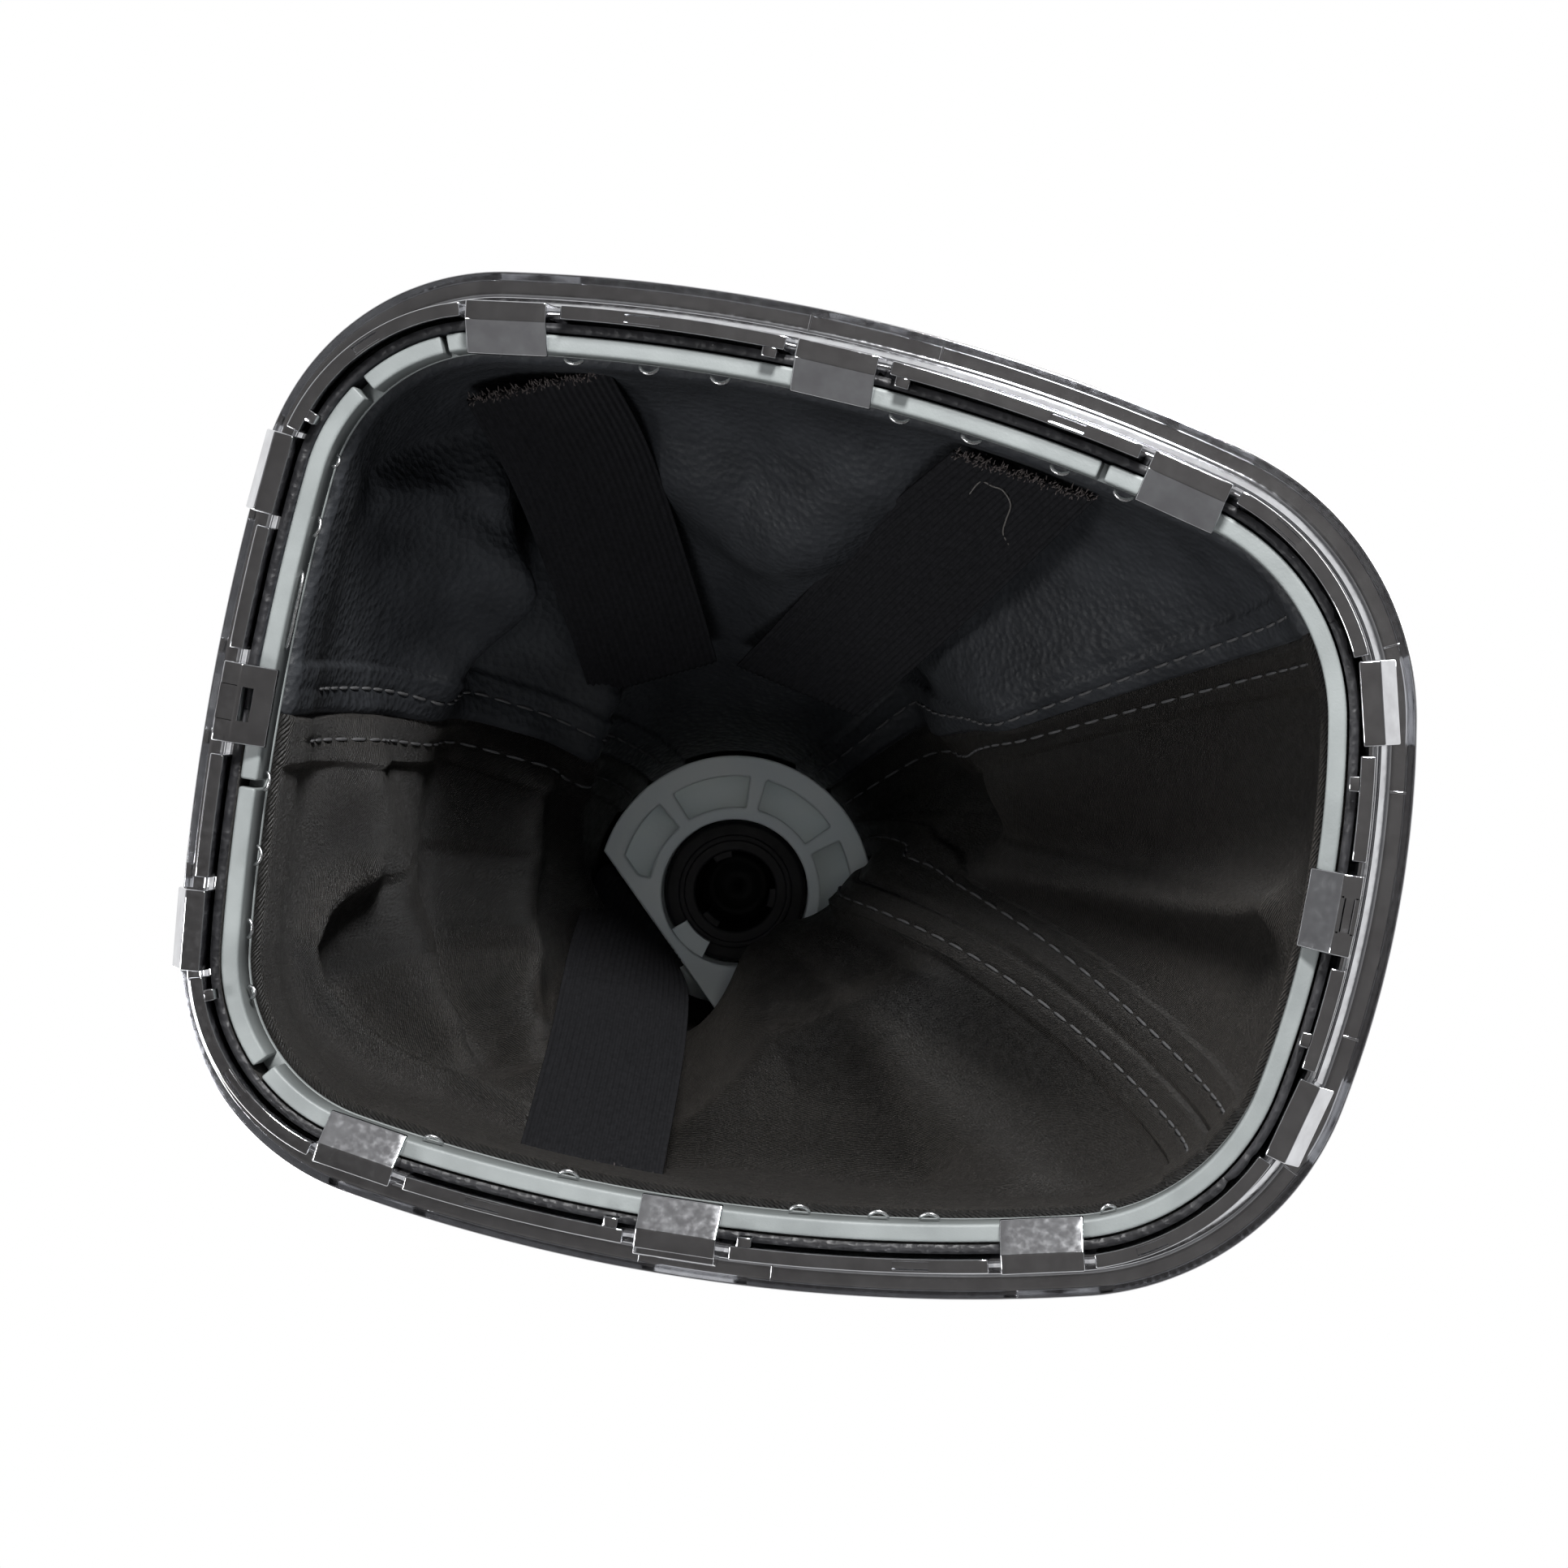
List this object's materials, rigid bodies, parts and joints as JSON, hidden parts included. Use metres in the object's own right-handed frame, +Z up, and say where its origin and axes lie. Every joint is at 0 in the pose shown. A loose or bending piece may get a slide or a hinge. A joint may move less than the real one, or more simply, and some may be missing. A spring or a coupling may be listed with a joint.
{
  "type": "gear knob with gaiter and trim frame",
  "caption": "Car gear knob with a soft leather gaiter, its retainer ring and a chromed snap-in trim frame.",
  "frame": {"origin": "middle of the trim frame's outline, on the plane that its retaining tabs stand on", "axes": "+Z up towards the knob, +X along the frame's length towards its more rounded end"},
  "size_m": [0.15, 0.121, 0.2172],
  "materials": {
    "chrome": "polished plating on plastic",
    "grey_plastic": "moulded light grey",
    "pale_plastic": "moulded off-white",
    "leather": "grained black, fabric back",
    "grip_leather": "smooth black, stitched",
    "elastic": "ribbed woven elastic",
    "steel_wire": "bright staple wire",
    "black_plastic": "moulded black",
    "gloss_black": "gloss black"
  },
  "bodies": {
    "root": {"trim_frame": "chrome", "retainer_ring": "grey_plastic", "staple_tip_01": "steel_wire", "staple_tip_02": "steel_wire", "staple_tip_03": "steel_wire", "staple_tip_04": "steel_wire", "staple_tip_05": "steel_wire", "staple_tip_06": "steel_wire", "staple_tip_07": "steel_wire", "staple_tip_08": "steel_wire", "staple_tip_09": "steel_wire", "staple_tip_10": "steel_wire", "staple_tip_11": "steel_wire", "staple_tip_12": "steel_wire", "staple_tip_13": "steel_wire", "staple_tip_14": "steel_wire", "staple_tip_15": "steel_wire", "staple_tip_16": "steel_wire", "staple_tip_17": "steel_wire", "staple_tip_18": "steel_wire", "staple_tip_19": "steel_wire", "staple_crown": "steel_wire", "gaiter_panel_lower": "leather", "gaiter_panel_upper": "leather", "gaiter_panel_right": "leather", "elastic_strap_left": "elastic", "elastic_strap_right": "elastic", "elastic_strap_lower": "elastic", "collar": "pale_plastic", "neck_tie": "black_plastic", "knob_core": "black_plastic", "knob_foot_ring": "chrome", "knob_grip": "grip_leather", "knob_trim_ring": "chrome", "knob_cap": "gloss_black"}
  },
  "joints": []
}
